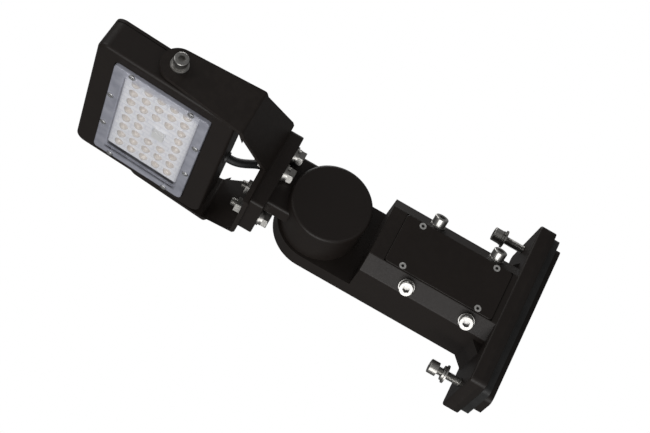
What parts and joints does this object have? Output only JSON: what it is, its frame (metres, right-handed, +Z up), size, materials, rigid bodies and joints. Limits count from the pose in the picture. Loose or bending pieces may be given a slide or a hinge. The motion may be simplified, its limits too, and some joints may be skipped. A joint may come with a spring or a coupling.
{
  "type": "adjustable area light",
  "caption": "Small outdoor LED area light: square head in a yoke, tilting knuckle and a flanged direct-mount arm with a wiring cover.",
  "frame": {"origin": "centre of the face that lies against the pole, midway between the two mounting bolts", "axes": "+X from the pole along the arm to the lamp head, +Z up, Y along the knuckle bolt and the yoke pivots; the lens faces -Z with a small tilt"},
  "size_m": [0.4423, 0.2168, 0.17],
  "materials": {
    "bronze_coat": "satin",
    "rubber": "matte",
    "cable_jacket": "matte",
    "stainless": "satin",
    "brass": "satin",
    "black_nylon": "matte",
    "clear_lens": "gloss",
    "optic": "gloss",
    "white_board": "satin",
    "white_plastic": "gloss",
    "phosphor": "satin",
    "driver_case": "satin"
  },
  "bodies": {
    "arm": {"backing_plate": "bronze_coat", "pole_gasket": "rubber", "pole_adapter_plate": "bronze_coat", "arm_casting": "bronze_coat", "knuckle_seal": "rubber", "arm_cover_gasket": "rubber", "arm_cover": "bronze_coat", "arm_cover_screws": "stainless", "clamp_screws": "stainless", "clamp_screw_washers": "stainless", "terminal_block": "black_nylon", "terminal_screws": "brass", "ground_screw": "brass", "knuckle_bolt": "stainless", "knuckle_washer": "stainless"},
    "upper_bolt": {"upper_mount_bolt": "stainless", "upper_spring_washer": "stainless", "upper_flat_washer": "stainless"},
    "lower_bolt": {"lower_mount_bolt": "stainless", "lower_spring_washer": "stainless", "lower_flat_washer": "stainless"},
    "knuckle": {"knuckle_casting": "bronze_coat", "yoke": "bronze_coat", "cable_grommet": "rubber", "yoke_bolts": "stainless", "yoke_spring_washers": "stainless", "yoke_flat_washers": "stainless", "yoke_nuts": "stainless"},
    "head": {"head_housing": "bronze_coat", "lens_cover": "clear_lens", "lens_gasket": "rubber", "lens_screws": "stainless", "led_board": "white_board", "led_chips": "phosphor", "led_optics": "optic", "led_connector": "white_plastic", "led_driver": "driver_case", "rear_cover": "bronze_coat", "rear_cover_gasket": "rubber", "rear_cover_screws": "stainless", "driver_screws": "stainless", "cable_gland": "black_nylon", "pivot_bolts": "stainless", "pivot_spring_washers": "stainless", "pivot_flat_washers": "stainless", "power_cable": "cable_jacket"}
  },
  "joints": [
    {"name": "knuckle_tilt", "type": "hinge", "parent": "arm", "child": "knuckle", "pos_m": [0.205, 0.0132, 0], "axis": [0, 1, 0], "range_deg": [-80, 80]},
    {"name": "yoke_tilt", "type": "hinge", "parent": "knuckle", "child": "head", "pos_m": [0.374, 0.0132, 0.001], "axis": [0, 1, 0], "range_deg": [-45, 60], "deforming": ["power_cable"]},
    {"name": "upper_bolt_travel", "type": "slide", "parent": "arm", "child": "upper_bolt", "axis": [1, 0, 0], "range_m": [-0.0185, 0.002]},
    {"name": "lower_bolt_travel", "type": "slide", "parent": "arm", "child": "lower_bolt", "axis": [1, 0, 0], "range_m": [-0.0138, 0.002]}
  ]
}
